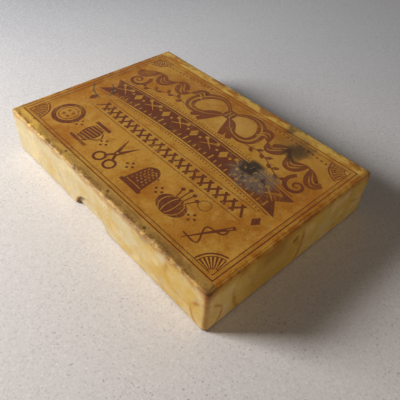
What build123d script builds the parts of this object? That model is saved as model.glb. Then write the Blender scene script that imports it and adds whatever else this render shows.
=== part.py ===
"""Paper-covered cardboard box of dressmaking pins: a tray under a lid as deep as itself.

Millimetres, +Z up. The origin is the middle of the box on the surface it stands on. The long
walls run along X and the front wall faces -Y. Lid and tray are both made the same way. A
scored blank of board is folded up and held at its four corners by gummed paper stays. A strip
of cover paper goes round the walls, turns in over the open edge and turns over on to the
closed face, where a pasted sheet hides its margin: the label on the lid, plain paper under
the tray.
"""

from build123d import *
from dataclasses import dataclass
from math import atan, cos, degrees, radians, sin, tau
from random import Random
import os

import numpy as np

# Lid, over everything
box_length = 112.0
box_width = 79.0
box_height = 19.0

# Thickness of each sheet
board = 0.8
cover_paper = 0.15
stay_paper = 0.12
label_paper = 0.12
base_paper = 0.15
lining_paper = 0.1

# Rounding of the board's upright corners and of its folds, least difference between the two,
# and the slit where two walls meet
corner_radius = 1.1
fold_radius = 0.8
fold_inside_corner = 0.1
wall_seam = 0.1

# How the lid fits: round the tray, on its rim, and clear of the surface below
fit_clearance = 0.2
lid_rest_gap = 0.05
lid_floor_gap = 0.4

# Margins of the papers
turn_over = 5.0
lid_turn_in = 7.0
tray_turn_in = 6.0
stay_leg = 9.0
stay_end_gap = 0.5
sheet_margin = 0.3
sheet_slope = 0.6

# Thumb notches in the lid's long walls: arcs a little off the middle, centred below the open edge
notch_radius = 10.0
notch_offset = -3.6
notch_drop = 2.4

# Pins: their form, with a head whose dome ends at its brim, and the fewest faces that serve
pin_count = 48
pin_length = 24.0
pin_diameter = 0.65
head_diameter = 1.7
head_height = 0.8
brim_height = 0.6
point_length = 3.0
tip_diameter = 0.08
pin_sides = 8
dome_rings = 3

# How the pins lie: the gap between two that touch, the stations at which each is followed
# for every thickness of its shank, and how many places are tried for the lowest
pin_gap = 0.06
stations_per_diameter = 3
pin_tries = 2
pin_seed = 11


def block(length: float, width: float, low: float, high: float) -> Part:
    """Upright block with square corners, centred on the origin."""
    return Pos(0, 0, (low + high) / 2) * Box(length, width, high - low)


def rounded_block(length: float, width: float, low: float, high: float, corner: float) -> Part:
    """Upright block with rounded corners, centred on the origin."""
    return Pos(0, 0, low) * extrude(RectangleRounded(length, width, corner), high - low)


@dataclass(frozen=True)
class Corner:
    """One upright corner of the box, by the side of each axis it is on."""

    name: str
    side_x: int
    side_y: int


CORNERS = (
    Corner("front_left", -1, -1),
    Corner("front_right", 1, -1),
    Corner("back_left", -1, 1),
    Corner("back_right", 1, 1),
)


@dataclass(frozen=True)
class CoveredBox:
    """Board box with its papers, open downwards, as the lid is or as the tray is made.

    Heights count from the open edge of the cover paper.

    Attributes:
        length: Over the cover paper, beside the stays.
        width: Over the cover paper, beside the stays.
        height: From the open edge to the closed face, over the cover paper.
        turn_in: How far the cover paper goes up the inside of the walls.
        sheet: Thickness of the sheet pasted on the closed face.
    """

    length: float
    width: float
    height: float
    turn_in: float
    sheet: float

    @property
    def board_length(self) -> float:
        """Over the board."""
        return self.length - 2 * cover_paper

    @property
    def board_width(self) -> float:
        """Over the board."""
        return self.width - 2 * cover_paper

    @property
    def board_top(self) -> float:
        """Closed face of the board."""
        return self.height - cover_paper

    @property
    def ceiling(self) -> float:
        """Inner side of the closed face."""
        return self.board_top - board

    @property
    def inside_length(self) -> float:
        """Between the board walls."""
        return self.board_length - 2 * board

    @property
    def inside_width(self) -> float:
        """Between the board walls."""
        return self.board_width - 2 * board

    @property
    def clear_length(self) -> float:
        """Between the margins of cover paper that are turned in."""
        return self.inside_length - 2 * cover_paper

    @property
    def clear_width(self) -> float:
        """Between the margins of cover paper that are turned in."""
        return self.inside_width - 2 * cover_paper

    @property
    def fold(self) -> float:
        """Rounding of the board where a wall folds, kept inside that of the corners."""
        return min(fold_radius, corner_radius - fold_inside_corner)

    @property
    def stay_top(self) -> float:
        """Upper end of the stays, short of the fold."""
        return self.board_top - self.fold - stay_end_gap

    def folded_block(self, over_board: float) -> Part:
        """Outer form of the folded board, grown by a layer.

        Args:
            over_board: Thickness of the layer on the board.
        """
        solid = rounded_block(
            self.board_length + 2 * over_board,
            self.board_width + 2 * over_board,
            cover_paper - over_board,
            self.board_top + over_board,
            corner_radius + over_board,
        )
        top_edges = solid.faces().sort_by(Axis.Z)[-1].edges()
        return fillet(top_edges, self.fold + over_board)

    def corner_post(self, corner: Corner, leg: float) -> Part:
        """Square post as high as the box that takes in one corner of the board."""
        place = Pos(corner.side_x * self.board_length / 2, corner.side_y * self.board_width / 2)
        return place * block(2 * leg, 2 * leg, 0, self.height)

    def board_shell(self) -> Part:
        """Folded blank, its walls meeting at a narrow slit in each corner."""
        shell = self.folded_block(0) - block(
            self.inside_length, self.inside_width, 0, self.ceiling
        )
        across_corner = 4 * (board + corner_radius)
        slit = block(across_corner, wall_seam, 0, self.ceiling)
        for corner in CORNERS:
            place = Pos(corner.side_x * self.board_length / 2, corner.side_y * self.board_width / 2)
            shell -= place * Rot(Z=45 * corner.side_x * corner.side_y) * slit
        return shell

    def stay(self, corner: Corner) -> Part:
        """Gummed paper folded round one corner of the board."""
        low, high = cover_paper, self.stay_top
        around = rounded_block(
            self.board_length + 2 * stay_paper,
            self.board_width + 2 * stay_paper,
            low,
            high,
            corner_radius + stay_paper,
        )
        within = rounded_block(self.board_length, self.board_width, low, high, corner_radius)
        return (around - within) & self.corner_post(corner, stay_leg)

    def wrap(self) -> Part:
        """Cover paper: round the walls and stays, turned in below and turned over above."""
        over_stays = rounded_block(
            self.length + 2 * stay_paper,
            self.width + 2 * stay_paper,
            0,
            self.stay_top + cover_paper,
            corner_radius + stay_paper + cover_paper,
        )
        outside = self.folded_block(cover_paper)
        for corner in CORNERS:
            outside += over_stays & self.corner_post(corner, stay_leg + cover_paper)
        clear = block(self.clear_length, self.clear_width, 0, self.turn_in)
        turned_in = block(self.inside_length, self.inside_width, cover_paper, self.turn_in) - clear
        paper = outside - (self.folded_block(0) - turned_in) - clear
        for corner in CORNERS:
            paper -= self.stay(corner)
        return paper - block(*self.sheet_dip, self.board_top, self.height)

    @property
    def sheet_dip(self) -> tuple[float, float]:
        """Length and width of the closed face that the turned-over paper leaves bare."""
        return self.length - 2 * turn_over, self.width - 2 * turn_over

    def pasted_sheet(self) -> Part:
        """Sheet on the closed face, sinking off the turned-over paper on to the board."""
        flat_length = self.board_length - 2 * (self.fold + sheet_margin)
        flat_width = self.board_width - 2 * (self.fold + sheet_margin)
        wide = Rectangle(*self.sheet_dip)
        narrow = Rectangle(*(size - 2 * sheet_slope for size in self.sheet_dip))
        dip = loft([Pos(0, 0, self.height) * wide, Pos(0, 0, self.board_top) * narrow], ruled=True)
        flat = block(flat_length, flat_width, self.height, self.height + self.sheet)
        return flat + dip - Pos(0, 0, self.sheet) * dip

    def lining(self) -> Part:
        """Thin paper on the inner side of the closed face and up the walls to the cover paper."""
        outer = block(self.inside_length, self.inside_width, self.turn_in, self.ceiling)
        inner = block(
            self.inside_length - 2 * lining_paper,
            self.inside_width - 2 * lining_paper,
            self.turn_in,
            self.ceiling - lining_paper,
        )
        return outer - inner


def pin_form() -> Part:
    """One pin along +X, with the top of its domed head at the origin."""
    dome_angles = [radians(90 * ring / dome_rings) for ring in range(1, dome_rings + 1)]
    crown = cos(dome_angles[0])
    stations = [
        (brim_height * (crown - cos(angle)) / crown, head_diameter * sin(angle))
        for angle in dome_angles
    ]
    stations += [
        (head_height, pin_diameter),
        (pin_length - point_length, pin_diameter),
        (pin_length, tip_diameter),
    ]
    rings = [
        Plane.YZ.offset(along) * RegularPolygon(diameter / 2, pin_sides)
        for along, diameter in stations
    ]
    return Part() + [loft(pair, ruled=True) for pair in zip(rings, rings[1:])]


@dataclass(frozen=True)
class Rest:
    """A pin at rest: where the top of its head is, its direction in plan and its slope."""

    x: float
    y: float
    z: float
    turn: float
    slope: float

    @property
    def middle(self) -> float:
        """Height of the middle of the pin's axis."""
        return self.z + self.slope * pin_length / 2

    def place(self) -> Location:
        """Where the pin's form goes."""
        return Pos(self.x, self.y, self.z) * Rot(Z=degrees(self.turn)) * Rot(Y=-degrees(atan(self.slope)))


class PinTray:
    """Floor that pins are dropped on one by one, each resting on what lies there already.

    A pin is followed at stations along its axis. Over each station, the floor and every pin
    already there set the lowest height that the axis can have.
    """

    def __init__(self, length: float, width: float, floor: float) -> None:
        """Start with an empty floor.

        Args:
            length: Of the floor.
            width: Of the floor.
            floor: Its height.
        """
        self.floor = floor
        self.half_length = length / 2 - head_diameter
        self.half_width = width / 2 - head_diameter
        step = pin_diameter / stations_per_diameter
        self.along = np.arange(0, pin_length, step)
        to_point = np.clip((pin_length - self.along) / point_length, 0, 1)
        in_head = self.along < head_height + step
        self.radius = np.where(in_head, head_diameter, to_point * pin_diameter) / 2
        self.laid = np.empty((0, 4))
        self.chance = Random(pin_seed)

    def drop(self) -> Rest:
        """Lay one more pin in the lowest of a few places."""
        rest = min((self.settle(*self.place_in_plan()) for _ in range(pin_tries)), key=lambda r: r.middle)
        x, y = self.in_plan(rest.x, rest.y, rest.turn)
        stations = np.column_stack([x, y, rest.z + rest.slope * self.along, self.radius])
        self.laid = np.vstack([self.laid, stations])
        return rest

    def place_in_plan(self) -> tuple[float, float, float]:
        """Head and direction of a pin, seen from above, that keep it clear of the walls."""
        while True:
            x = self.chance.uniform(-self.half_length, self.half_length)
            y = self.chance.uniform(-self.half_width, self.half_width)
            turn = self.chance.uniform(0, tau)
            point_x, point_y = x + pin_length * cos(turn), y + pin_length * sin(turn)
            if abs(point_x) < self.half_length and abs(point_y) < self.half_width:
                return x, y, turn

    def in_plan(self, x: float, y: float, turn: float) -> tuple[np.ndarray, np.ndarray]:
        """Stations of a pin seen from above."""
        return x + self.along * cos(turn), y + self.along * sin(turn)

    def settle(self, x: float, y: float, turn: float) -> Rest:
        """Pin laid at a place in plan, on the two stations that carry its middle highest.

        The line through those two, one on each side of the middle, clears all the others.
        """
        station_x, station_y = self.in_plan(x, y, turn)
        reach = self.radius[:, None] + self.laid[:, 3] + pin_gap
        apart = (station_x[:, None] - self.laid[:, 0]) ** 2 + (station_y[:, None] - self.laid[:, 1]) ** 2
        lift = np.sqrt(np.clip(reach**2 - apart, 0, None))
        over_pins = np.where(apart < reach**2, self.laid[:, 2] + lift, self.floor)
        over_floor = self.floor + self.radius + pin_gap
        lowest = np.maximum(over_floor, over_pins.max(axis=1, initial=self.floor))

        half = int(np.searchsorted(self.along, pin_length / 2))
        head_side, point_side = self.along[:half, None], self.along[None, half:]
        slopes = (lowest[None, half:] - lowest[:half, None]) / (point_side - head_side)
        heights = lowest[:half, None] + slopes * (pin_length / 2 - head_side)
        first, second = np.unravel_index(np.argmax(heights), heights.shape)
        slope = float(slopes[first, second])
        return Rest(x, y, float(lowest[first] - slope * self.along[first]), turn, slope)


def main() -> None:
    """Build every piece and write it to its own file."""
    lid = CoveredBox(
        length=box_length - 2 * stay_paper,
        width=box_width - 2 * stay_paper,
        height=box_height - label_paper - lid_floor_gap,
        turn_in=lid_turn_in,
        sheet=label_paper,
    )
    rim_height = lid_floor_gap + lid.ceiling - lid_rest_gap
    tray = CoveredBox(
        length=lid.clear_length - 2 * (fit_clearance + stay_paper),
        width=lid.clear_width - 2 * (fit_clearance + stay_paper),
        height=rim_height - base_paper,
        turn_in=tray_turn_in,
        sheet=base_paper,
    )
    notches = Pos(notch_offset, 0, -notch_drop) * Rot(X=90) * Cylinder(notch_radius, box_width)

    lid_pieces = {
        "lid_board": lid.board_shell() - notches,
        "lid_wrap": lid.wrap() - notches,
        "lid_label": lid.pasted_sheet(),
    }
    tray_pieces = {
        "tray_board": tray.board_shell(),
        "tray_wrap": tray.wrap(),
        "tray_lining": tray.lining(),
        "tray_base_paper": tray.pasted_sheet(),
    }
    for corner in CORNERS:
        lid_pieces[f"lid_corner_stay_{corner.name}"] = lid.stay(corner)
        tray_pieces[f"tray_corner_stay_{corner.name}"] = tray.stay(corner)

    pieces = {name: Pos(0, 0, lid_floor_gap) * piece for name, piece in lid_pieces.items()}
    for name, piece in tray_pieces.items():
        pieces[name] = Pos(0, 0, rim_height) * mirror(piece, Plane.XY)

    pin_tray = PinTray(
        length=tray.inside_length - 2 * lining_paper,
        width=tray.inside_width - 2 * lining_paper,
        floor=rim_height - tray.ceiling + lining_paper,
    )
    pin = pin_form()
    pieces["pins"] = Compound([pin_tray.drop().place() * pin for _ in range(pin_count)])

    os.makedirs("parts", exist_ok=True)
    for name, piece in pieces.items():
        export_step(piece, f"parts/{name}.step")


main()
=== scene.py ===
"""An old paper-covered box of dressmaking pins, dressed as it looks after years of use.

Metres, +Z up, the front wall at -Y. The boards, stays, lining and pins come from the frame.
The cover papers, the label and its print are surfaces worked out here, in millimetres until
they become meshes, so that they carry the waves, bulges and nibbled edges of handled paper.
"""

from __future__ import annotations

import logging
import math
from collections.abc import Callable, Sequence
from dataclasses import dataclass, field
from enum import Enum
from functools import reduce
from typing import Any

import bmesh
import bpy
import numpy as np
from mathutils import Matrix, Vector

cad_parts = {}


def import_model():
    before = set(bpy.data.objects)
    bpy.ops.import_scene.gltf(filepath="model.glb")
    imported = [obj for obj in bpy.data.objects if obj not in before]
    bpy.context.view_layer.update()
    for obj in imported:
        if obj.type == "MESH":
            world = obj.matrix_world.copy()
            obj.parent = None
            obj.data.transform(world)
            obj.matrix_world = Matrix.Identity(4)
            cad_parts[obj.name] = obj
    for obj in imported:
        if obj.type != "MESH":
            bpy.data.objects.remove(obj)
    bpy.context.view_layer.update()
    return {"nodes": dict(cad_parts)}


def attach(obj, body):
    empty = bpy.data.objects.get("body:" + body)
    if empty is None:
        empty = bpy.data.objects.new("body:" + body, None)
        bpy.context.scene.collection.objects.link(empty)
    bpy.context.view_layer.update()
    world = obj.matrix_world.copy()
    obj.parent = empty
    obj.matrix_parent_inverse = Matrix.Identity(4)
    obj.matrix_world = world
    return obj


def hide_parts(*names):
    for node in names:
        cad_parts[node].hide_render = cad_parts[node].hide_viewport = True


log = logging.getLogger("pin_box")

Colour = tuple[float, float, float, float]
Point = tuple[float, float]
Spot = tuple[float, float, float]
Array = np.ndarray
Height = Callable[[Array, Array], Array]
Material = bpy.types.Material
Socket = bpy.types.NodeSocket
Feed = Socket | float | tuple

MM = 0.001
WELD = 0.002 * MM
SLIVER = 0.001 * MM
SHARP = math.radians(35)
BLACK: Colour = (0.0, 0.0, 0.0, 1.0)


def srgb(red: int, green: int, blue: int) -> Colour:
    """Scene colour of a screen colour.

    Args:
        red: From 0 to 255, as the other two.
        green: Second channel.
        blue: Third channel.

    Returns:
        Linear colour with full cover.
    """
    parts = [channel / 255 for channel in (red, green, blue)]
    linear = [p / 12.92 if p <= 0.04045 else ((p + 0.055) / 1.055) ** 2.4 for p in parts]
    return (*linear, 1.0)


def seen_rays(tree: bpy.types.NodeTree) -> Socket:
    """Rays that show a surface: from the camera, or mirrored by or passed through something.

    Args:
        tree: Nodes of a material or of the world.

    Returns:
        1 for such rays, and 0 for those that carry light.
    """
    path = tree.nodes.new("ShaderNodeLightPath")
    seen = path.outputs["Is Camera Ray"]
    for kind in ("Is Glossy Ray", "Is Transmission Ray"):
        either = tree.nodes.new("ShaderNodeMath")
        either.operation = "MAXIMUM"
        tree.links.new(seen, either.inputs[0])
        tree.links.new(path.outputs[kind], either.inputs[1])
        seen = either.outputs[0]
    return seen


# Surfaces


def points(x: Array | float, y: Array | float) -> Array:
    """Points in plan from their coordinates, which stand in the last axis."""
    return np.stack(np.broadcast_arrays(x, y), axis=-1)


def circle(angle: Array | float) -> Array:
    """Points of a circle of radius 1: (cos a, sin a)."""
    return points(np.cos(angle), np.sin(angle))


def raised(plan: Array, height: Array) -> Array:
    """Places over points in plan, each at its height."""
    return np.concatenate([plan, height[..., None]], axis=-1)


def smooth_step(value: Array, low: float, high: float) -> Array:
    """Rise from 0 at low to 1 at high along the curve 3 s s - 2 s s s."""
    share = np.clip((value - low) / (high - low), 0, 1)
    return share * share * (3 - 2 * share)


@dataclass(frozen=True)
class Ripple:
    """Slow random waves over a plane: the mean of sines that run in all directions.

    Attributes:
        seed: Picks one set of waves.
        length: Usual distance from crest to crest.
        waves: How many sines are added.
    """

    seed: int
    length: float
    waves: int = 14

    def at(self, across: Array, up: Array | float = 0.0) -> Array:
        """Height of the waves, mostly between -1 and 1.

        Args:
            across: First coordinate of each place.
            up: Second coordinate of each place.

        Returns:
            One height for each place.
        """
        chance = np.random.default_rng(self.seed)
        heading = chance.uniform(0, 2 * math.pi, self.waves)
        pitch = 2 * math.pi / (self.length * chance.uniform(0.6, 1.7, self.waves))
        start = chance.uniform(0, 2 * math.pi, self.waves)
        run = across[..., None] * np.cos(heading) + np.asarray(up)[..., None] * np.sin(heading)
        return np.sin(run * pitch + start).sum(-1) * 0.6 * math.sqrt(2 / self.waves)


def grid_faces(rows: int, columns: int, closed: bool = False) -> Array:
    """Quads of a grid whose points are counted row by row.

    Args:
        rows: Number of rows of points.
        columns: Points in a row.
        closed: Whether the last point of a row joins the first.

    Returns:
        Four point numbers for each quad.
    """
    row = np.arange(rows - 1)[:, None] * columns
    column = np.arange(columns if closed else columns - 1)[None]
    following = (column + 1) % columns
    quads = [row + column, row + following, row + columns + following, row + columns + column]
    return np.stack(quads, axis=-1).reshape(-1, 4)


def sheet_faces(rows: int, columns: int, closed: bool) -> Array:
    """Quads of a sheet with two sides and its rims, the second side counted after the first.

    Args:
        rows: Rows of points on one side.
        columns: Points in a row.
        closed: Whether the rows run round and meet.

    Returns:
        Four point numbers for each quad.
    """
    side = rows * columns
    number = np.arange(side).reshape(rows, columns)
    edges = [number[0, ::-1], number[-1]]
    if closed:
        edges = [np.append(edge, edge[0]) for edge in edges]
    else:
        edges += [number[:, 0], number[::-1, -1]]
    rims = [np.stack([e[1:], e[:-1], e[:-1] + side, e[1:] + side], axis=-1) for e in edges]
    face = grid_faces(rows, columns, closed)
    return np.concatenate([face, face[:, ::-1] + side, *rims])


@dataclass
class Pile:
    """Points and quads of one piece, gathered surface by surface.

    Attributes:
        points: Places of each surface, in millimetres.
        quads: Point numbers of each surface's quads.
        count: Number of points so far.
    """

    points: list[Array] = field(default_factory=list)
    quads: list[Array] = field(default_factory=list)
    count: int = 0

    def add(self, places: Array, quads: Array) -> None:
        """Put one surface on the pile.

        Args:
            places: In millimetres, in any grid shape.
            quads: Point numbers that start from 0 for this surface.
        """
        flat = places.reshape(-1, 3)
        self.points.append(flat)
        self.quads.append(quads + self.count)
        self.count += len(flat)

    def add_sheet(self, face: Array, back: Array, closed: bool) -> None:
        """Put a sheet on the pile, with its face, its back and its rims."""
        rows, columns = face.shape[:2]
        self.add(np.stack([face, back]), sheet_faces(rows, columns, closed))

    def piece(self, name: str, body: str, closed: bool = True) -> bpy.types.Object:
        """Make the mesh object and let it ride on a body.

        Args:
            name: Of the piece.
            body: That it moves with.
            closed: Whether its surfaces close. If not, they are a flat print.

        Returns:
            The new object, at the origin.
        """
        mesh = bpy.data.meshes.new(name)
        places, quads = np.concatenate(self.points) * MM, np.concatenate(self.quads)
        mesh.from_pydata(places.tolist(), [], quads.tolist())
        work = bmesh.new()
        work.from_mesh(mesh)
        bmesh.ops.remove_doubles(work, verts=work.verts, dist=WELD)
        bmesh.ops.dissolve_degenerate(work, dist=SLIVER, edges=work.edges)
        if closed:
            bmesh.ops.recalc_face_normals(work, faces=work.faces)
        work.to_mesh(mesh)
        work.free()
        if closed:
            mesh.set_sharp_from_angle(angle=SHARP)
        else:
            mesh.polygons.foreach_set("use_smooth", np.zeros(len(mesh.polygons), bool))
        piece = bpy.data.objects.new(name, mesh)
        bpy.context.scene.collection.objects.link(piece)
        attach(piece, body)
        log.info("%s: %d points, %d faces", name, len(mesh.vertices), len(mesh.polygons))
        return piece


def dress(piece: bpy.types.Object, material: Material) -> None:
    """Give a piece one finish, in place of what its mesh carries.

    Args:
        piece: What is dressed.
        material: Its finish.
    """
    if not piece.material_slots:
        piece.data.materials.append(None)
    for place in piece.material_slots:
        place.link = "OBJECT"
        place.material = material


# Cover papers


@dataclass(frozen=True)
class Notch:
    """Thumb notch: an arc whose centre is below the open edge.

    Attributes:
        middle: Place of its centre along the wall.
        radius: Of the arc.
        drop: How far its centre is below the open edge.
        count: Points along the arc.
    """

    middle: float = -3.6
    radius: float = 10.0
    drop: float = 2.4
    count: int = 49

    def stations(self) -> Array:
        """Places along the wall, at even steps of the arc from one end to the other."""
        start = math.asin(self.drop / self.radius)
        return self.middle - self.radius * np.cos(np.linspace(start, math.pi - start, self.count))

    def rise(self, along: Array) -> Array:
        """Height of the cut over the open edge: sqrt(R R - (x - middle)^2) - drop, or 0."""
        high = np.sqrt(np.maximum(self.radius**2 - (along - self.middle) ** 2, 0))
        return np.maximum(high - self.drop, 0)


@dataclass(frozen=True)
class Round:
    """Stations round a box with rounded corners, from the front left corner to the right.

    Attributes:
        half_length: Half of the box along x.
        half_width: Half of the box along y.
        radius: Of its upright corners.
        notch: Thumb notch in both long walls, if it has one.
        long_count: Points along a long wall without a notch.
        beside_counts: Points to the left and to the right of the notch.
        beside_gap: From these points to the ends of the arc.
        side_count: Points along a short wall.
        turn_count: Points round a corner, its two ends left out.
    """

    half_length: float
    half_width: float
    radius: float
    notch: Notch | None = None
    long_count: int = 121
    beside_counts: tuple[int, int] = (46, 48)
    beside_gap: float = 0.02
    side_count: int = 75
    turn_count: int = 7

    def long_wall(self) -> Array:
        """Places along the front wall, gathered evenly round the arc of the notch.

        Returns:
            Their x coordinates.
        """
        end = self.half_length - self.radius
        if self.notch is None:
            return np.linspace(-end, end, self.long_count)
        arc = self.notch.stations()
        left = np.linspace(-end, arc[0] - self.beside_gap, self.beside_counts[0])
        right = np.linspace(arc[-1] + self.beside_gap, end, self.beside_counts[1])
        return np.concatenate([left, arc, right])

    def stations(self) -> tuple[Array, Array]:
        """Core points and outward directions of all stations.

        Returns:
            The points that stay inside the rounding, and unit vectors away from it.
        """
        end, side_end = self.half_length - self.radius, self.half_width - self.radius
        front, right = self.long_wall(), np.linspace(-side_end, side_end, self.side_count)
        walls = (
            points(front, -side_end), points(end, right),
            points(front[::-1], side_end), points(-end, right[::-1]),
        )
        turn = np.linspace(0, math.pi / 2, self.turn_count + 2)[1:-1]
        cores, ways = [], []
        for quarter, wall in enumerate(walls):
            start = (quarter - 1) * math.pi / 2
            cores += [wall, np.tile(wall[-1], (len(turn), 1))]
            ways += [np.tile(circle(start), (len(wall), 1)), circle(start + turn)]
        return np.concatenate(cores), np.concatenate(ways)

    def ring(self, inset: Array) -> Array:
        """Places of all stations on rings inside the box.

        The place is core * (half - max(R, d)) / (half - R) + max(R - d, 0.02) * way, for
        the radius R and the inset d.

        Args:
            inset: Distance of each ring from the outside, one row for each, and one column
                or one for each station.

        Returns:
            Places with a row for each ring.
        """
        core, way = self.stations()
        inside = np.maximum(self.radius, inset)[..., None]
        half = np.array([self.half_length, self.half_width])
        scale = (half - inside) / (half - self.radius)
        return core * scale + np.maximum(self.radius - inset, 0.02)[..., None] * way


@dataclass
class CoverPaper:
    """Paper wrapped round a box, turned over on the closed face and into the open edge.

    Attributes:
        name: Of the node that it replaces.
        body: That it rides on.
        round: Stations of its outside.
        closed_face: Height of the paper on the closed face.
        open_edge: Height of the open edge.
        turn_in: End of the turned-in paper, as a height.
        stay_end: Height where the corner stays end, towards the closed face.
        seed: Of the waves in the paper.
        darkening: How much of it has gone golden, from 0 to 1.
        fold: Radius of the fold between wall and closed face.
        inside: Inset of the turned-in paper.
        turn_over: Width of the paper on the closed face.
        thickness: Of the paper.
        stay_leg: Reach of a corner stay from the corner.
        swell: Most that the wall stands out over its flat shape.
        wave_length: Of the slow waves in the wall.
        wave_height: Half of their height.
        rim: Rounding of the open edge.
        flat_rows: Rows of points on the closed face.
        fold_rows: Rows round the fold.
        wall_rows: Rows down the wall.
        under_rows: Rows under the open edge.
        inside_rows: Rows up the turned-in paper.
    """

    name: str
    body: str
    round: Round
    closed_face: float
    open_edge: float
    turn_in: float
    stay_end: float
    seed: int
    darkening: float
    fold: float = 0.95
    inside: float = 1.1
    turn_over: float = 5.0
    thickness: float = 0.15
    stay_leg: float = 9.15
    swell: float = 0.115
    wave_length: float = 9.0
    wave_height: float = 0.035
    rim: float = 0.12
    flat_rows: int = 5
    fold_rows: int = 8
    wall_rows: int = 25
    under_rows: int = 3
    inside_rows: int = 6

    @property
    def way_up(self) -> float:
        """1 where the closed face is on top, and -1 where it is below."""
        return 1.0 if self.closed_face > self.open_edge else -1.0

    def low_edge(self) -> Array:
        """Height of the cut edge at each station: the open edge, or the arc of the notch.

        Returns:
            One height for each station.
        """
        core, way = self.round.stations()
        edge = np.full(len(core), self.open_edge)
        if self.round.notch is None:
            return edge
        on_long_wall = np.abs(way[:, 0]) < 1e-6
        return edge + self.way_up * np.where(on_long_wall, self.round.notch.rise(core[:, 0]), 0)

    def swelling(self, places: Array, height: Array) -> Array:
        """How far the wall stands out: full over the stays, and in slow waves elsewhere.

        It is the smaller of swell and swell * stay + fade * wave_height * (1 + ripple).

        Args:
            places: Places on the wall in plan.
            height: Their heights.

        Returns:
            Distance outwards.
        """
        x, y = places[..., 0], places[..., 1]
        from_corner = np.maximum(self.round.half_length - np.abs(x), self.round.half_width - np.abs(y))
        over_stay = smooth_step(self.stay_leg - from_corner, -0.4, 0.5)
        over_stay = over_stay * smooth_step(self.way_up * (self.stay_end - height), -0.2, 0.6)
        wave = 1 + Ripple(self.seed, self.wave_length).at(x + y * 1.7, height * 1.3)
        fade = smooth_step(self.way_up * (self.closed_face - self.fold - height), 0.0, 2.0)
        return np.minimum(self.swell * over_stay + fade * self.wave_height * wave, self.swell)

    def outer_sheet(self, pile: Pile) -> None:
        """Turn-over, fold and wall. The fold is inset r (1 - sin a), drop r (1 - cos a).

        Args:
            pile: What takes the sheet.
        """
        up, low = self.way_up, self.low_edge()
        angle = np.linspace(0, math.pi / 2, self.fold_rows)
        fall = np.linspace(0, 1, self.wall_rows + 1)[1:, None]
        flat = np.linspace(self.turn_over, self.fold, self.flat_rows + 1)[:-1]
        top = self.closed_face - up * self.fold
        _, way = self.round.stations()
        sides = []
        for depth in (0.0, self.thickness):
            fold = self.fold - depth
            wall = np.full(self.wall_rows, depth)
            inset = np.concatenate([flat, depth + fold * (1 - np.sin(angle)), wall])
            rings = self.round.ring(np.tile(inset[:, None], (1, len(low))))
            drop = np.concatenate([np.full(self.flat_rows, depth), self.fold - fold * np.cos(angle)])
            heights = np.tile((self.closed_face - up * drop)[:, None], (1, len(low)))
            heights = np.concatenate([heights, top + fall * (low - top)])
            out = self.swelling(rings, heights)
            if not depth:
                out -= self.rim * smooth_step(np.abs(heights - low), self.rim, 0)
            out[: len(drop)] = 0
            sides.append(raised(rings + out[..., None] * way, heights))
        pile.add_sheet(*sides, closed=True)

    def kept_runs(self, low: Array) -> list[Array]:
        """Runs of stations with turned-in paper, which the notch leaves out.

        Args:
            low: Height of the cut edge at each station.

        Returns:
            Numbers of the stations of each run.
        """
        if self.round.notch is None:
            return [np.arange(len(low))]
        keeps = self.way_up * (self.turn_in - low) > 0.3
        starts = np.flatnonzero(keeps & ~np.roll(keeps, 1))
        lengths = [int(np.argmin(np.append(np.roll(keeps, -start), False))) for start in starts]
        return [(start + np.arange(length)) % len(low) for start, length in zip(starts, lengths)]

    def inner_sheet(self, pile: Pile) -> None:
        """Paper under the open edge and up the inside, each part start (1 - s) + end s.

        Args:
            pile: What takes the sheet.
        """
        low = self.low_edge()
        cut = np.abs(low - self.open_edge) > 1e-6
        start = np.where(cut, self.inside - self.thickness, self.thickness)
        under = np.linspace(0, 1, self.under_rows)[:, None]
        climb = np.linspace(0, 1, self.inside_rows + 1)[1:, None]
        sides = []
        for depth in (0.0, self.thickness):
            end = self.inside - depth
            base = low + self.way_up * np.where(cut, 0.0, depth)
            wall = np.full((len(climb), len(low)), end)
            inset = np.concatenate([start + under * (end - start), wall])
            level = np.tile(base, (len(under), 1))
            heights = np.concatenate([level, base + climb * (self.turn_in - base)])
            sides.append(raised(self.round.ring(inset), heights))
        runs = self.kept_runs(low)
        for run in runs:
            pile.add_sheet(*(side[:, run] for side in sides), closed=len(runs) == 1)

    def build(self, material: Material, slot: str) -> None:
        """Make the paper, dress it and let it stand for its node.

        Args:
            material: Its finish.
            slot: Material slot of the record. It is not used.
        """
        pile = Pile()
        self.outer_sheet(pile)
        self.inner_sheet(pile)
        piece = pile.piece(f"{self.name}_paper", self.body)
        dress(piece, material)
        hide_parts(self.name)


# Label


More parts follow.
